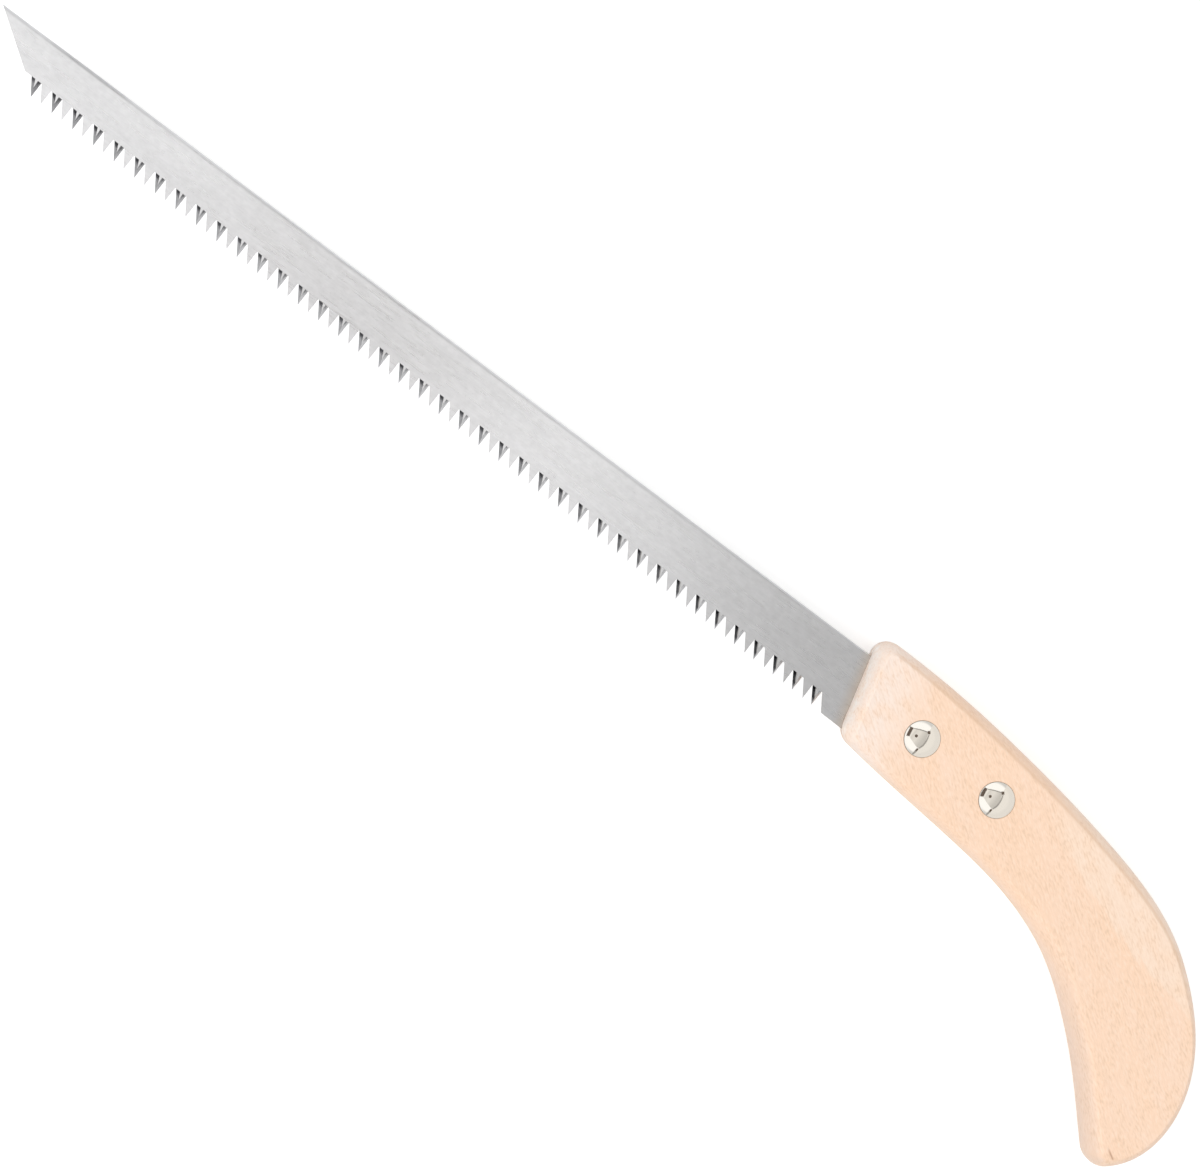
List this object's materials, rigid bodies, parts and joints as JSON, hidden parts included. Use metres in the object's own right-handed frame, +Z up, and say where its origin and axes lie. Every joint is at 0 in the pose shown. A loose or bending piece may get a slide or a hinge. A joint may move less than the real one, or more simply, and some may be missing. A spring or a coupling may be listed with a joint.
{
  "type": "pruning saw",
  "caption": "Pruning saw: a straight, tapered steel blade with set and bevelled teeth, riveted into a curved one-piece wooden handle.",
  "frame": {"origin": "middle of the saw's length and width, in the plane of its lowest points, which are the rivet heads' lower domes", "axes": "the saw lies flat: +X from the blade's toe to the handle's tail along the spine, +Y from the teeth to the spine, +Z up out of the side that the picture shows"},
  "size_m": [0.45, 0.0854, 0.0232],
  "materials": {
    "beech": "pale sanded beech under a thin clear satin varnish",
    "saw_steel": "fine brushing along the blade",
    "rivet": "polished nickel plate"
  },
  "bodies": {
    "root": {"handle": "beech", "blade": "saw_steel", "front_rivet_stud": "rivet", "front_rivet_socket": "rivet", "rear_rivet_stud": "rivet", "rear_rivet_socket": "rivet"}
  },
  "joints": []
}
